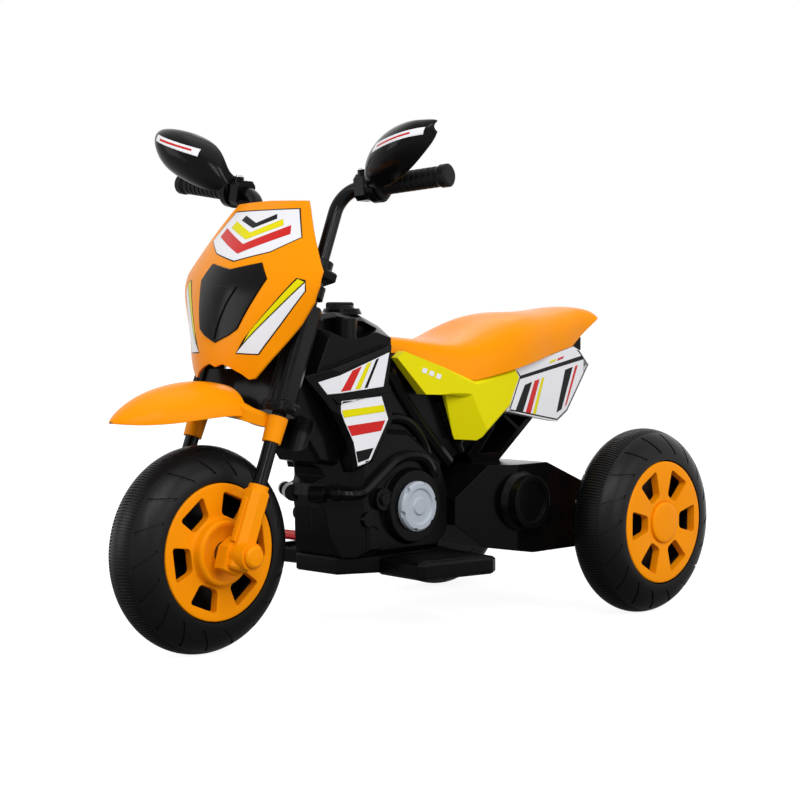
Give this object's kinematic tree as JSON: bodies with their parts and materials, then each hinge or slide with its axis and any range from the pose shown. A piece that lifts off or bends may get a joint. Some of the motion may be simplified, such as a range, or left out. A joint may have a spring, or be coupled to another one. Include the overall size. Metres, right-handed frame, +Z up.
{
  "type": "kids electric motorbike",
  "caption": "Battery ride-on motorbike for a small child: raked steering fork, hollow plastic wheels, moulded body with saddle, foot boards, drive pedal and a rear axle box.",
  "frame": {"origin": "on the ground, midway along the part's length and on its middle plane", "axes": "+X forwards, +Y to the rider's left, +Z up"},
  "size_m": [0.804, 0.445, 0.5972],
  "materials": {
    "orange_plastic": "gloss",
    "lime_plastic": "gloss",
    "black_gloss": "gloss",
    "black_satin": "satin",
    "wheel_black": "satin",
    "white_panel": "gloss",
    "silver_plastic": "satin",
    "red_plastic": "gloss",
    "black_tube": "satin",
    "axle_steel": "zinc plated",
    "grip_rubber": "matte",
    "nylon": "matte",
    "battery_case": "matte",
    "motor_case": "plain"
  },
  "bodies": {
    "chassis": {"body_shell_left": "black_satin", "body_shell_right": "black_satin", "engine_discs": "silver_plastic", "neck_bushes": "nylon", "tank_cap": "black_satin", "switch_frame": "black_satin", "seat": "orange_plastic", "battery": "battery_case", "tail_frame": "black_satin", "side_panel_left": "lime_plastic", "side_panel_right": "lime_plastic", "tail_plate_left": "white_panel", "tail_plate_right": "white_panel", "axle_box": "black_satin", "box_base": "black_satin", "gearbox": "black_satin", "drive_motor": "motor_case", "rear_axle": "axle_steel", "rear_axle_hardware": "axle_steel", "foot_board": "black_satin", "pedal_pin": "axle_steel", "pedal_switch": "black_satin"},
    "steering": {"fork_tube_left": "black_tube", "fork_tube_right": "black_tube", "lower_leg_left": "orange_plastic", "lower_leg_right": "orange_plastic", "grip_left": "grip_rubber", "grip_right": "grip_rubber", "hand_guard_left": "black_gloss", "hand_guard_right": "black_gloss", "bar_clamps": "black_satin", "axle_caps": "orange_plastic", "front_axle": "axle_steel", "front_axle_hardware": "axle_steel", "steering_fasteners": "axle_steel", "fork_bridge": "black_satin", "top_yoke": "black_satin", "steering_stem": "axle_steel", "front_fender": "orange_plastic", "front_mask": "orange_plastic", "mask_insert": "black_gloss", "mask_bracket": "black_satin"},
    "front_wheel": {"front_tyre": "wheel_black", "front_bushes": "nylon", "front_rims": "orange_plastic"},
    "rear_wheel_left": {"rear_left_tyre": "wheel_black", "rear_left_bushes": "nylon", "rear_left_rims": "orange_plastic", "rear_left_hub_cap": "orange_plastic"},
    "rear_wheel_right": {"rear_right_tyre": "wheel_black", "rear_right_bushes": "nylon", "rear_right_rims": "orange_plastic", "rear_right_hub_cap": "orange_plastic", "drive_coupler": "nylon"},
    "foot_pedal": {"pedal": "red_plastic"},
    "rocker": {"direction_switch": "red_plastic"}
  },
  "joints": [
    {"name": "steer", "type": "hinge", "parent": "chassis", "child": "steering", "pos_m": [0.25312, 0, 0.10353], "axis": [-0.3584, 0, 0.9336], "range_deg": [-25, 25]},
    {"name": "front_spin", "type": "hinge", "parent": "steering", "child": "front_wheel", "pos_m": [0.283, 0, 0.115], "axis": [0, 1, 0], "continuous": true},
    {"name": "rear_left_spin", "type": "hinge", "parent": "chassis", "child": "rear_wheel_left", "pos_m": [-0.287, 0.174, 0.115], "axis": [0, 1, 0], "continuous": true},
    {"name": "rear_right_spin", "type": "hinge", "parent": "chassis", "child": "rear_wheel_right", "pos_m": [-0.287, -0.174, 0.115], "axis": [0, 1, 0], "continuous": true},
    {"name": "pedal_press", "type": "hinge", "parent": "chassis", "child": "foot_pedal", "pos_m": [0.012, -0.104, 0.092], "axis": [0, 1, 0], "range_deg": [0, 9], "stiffness_Nm_per_rad": 4},
    {"name": "direction_rock", "type": "hinge", "parent": "chassis", "child": "rocker", "pos_m": [0.092, -0.043, 0.342], "axis": [0, 0, 1], "range_deg": [-8, 8]}
  ]
}
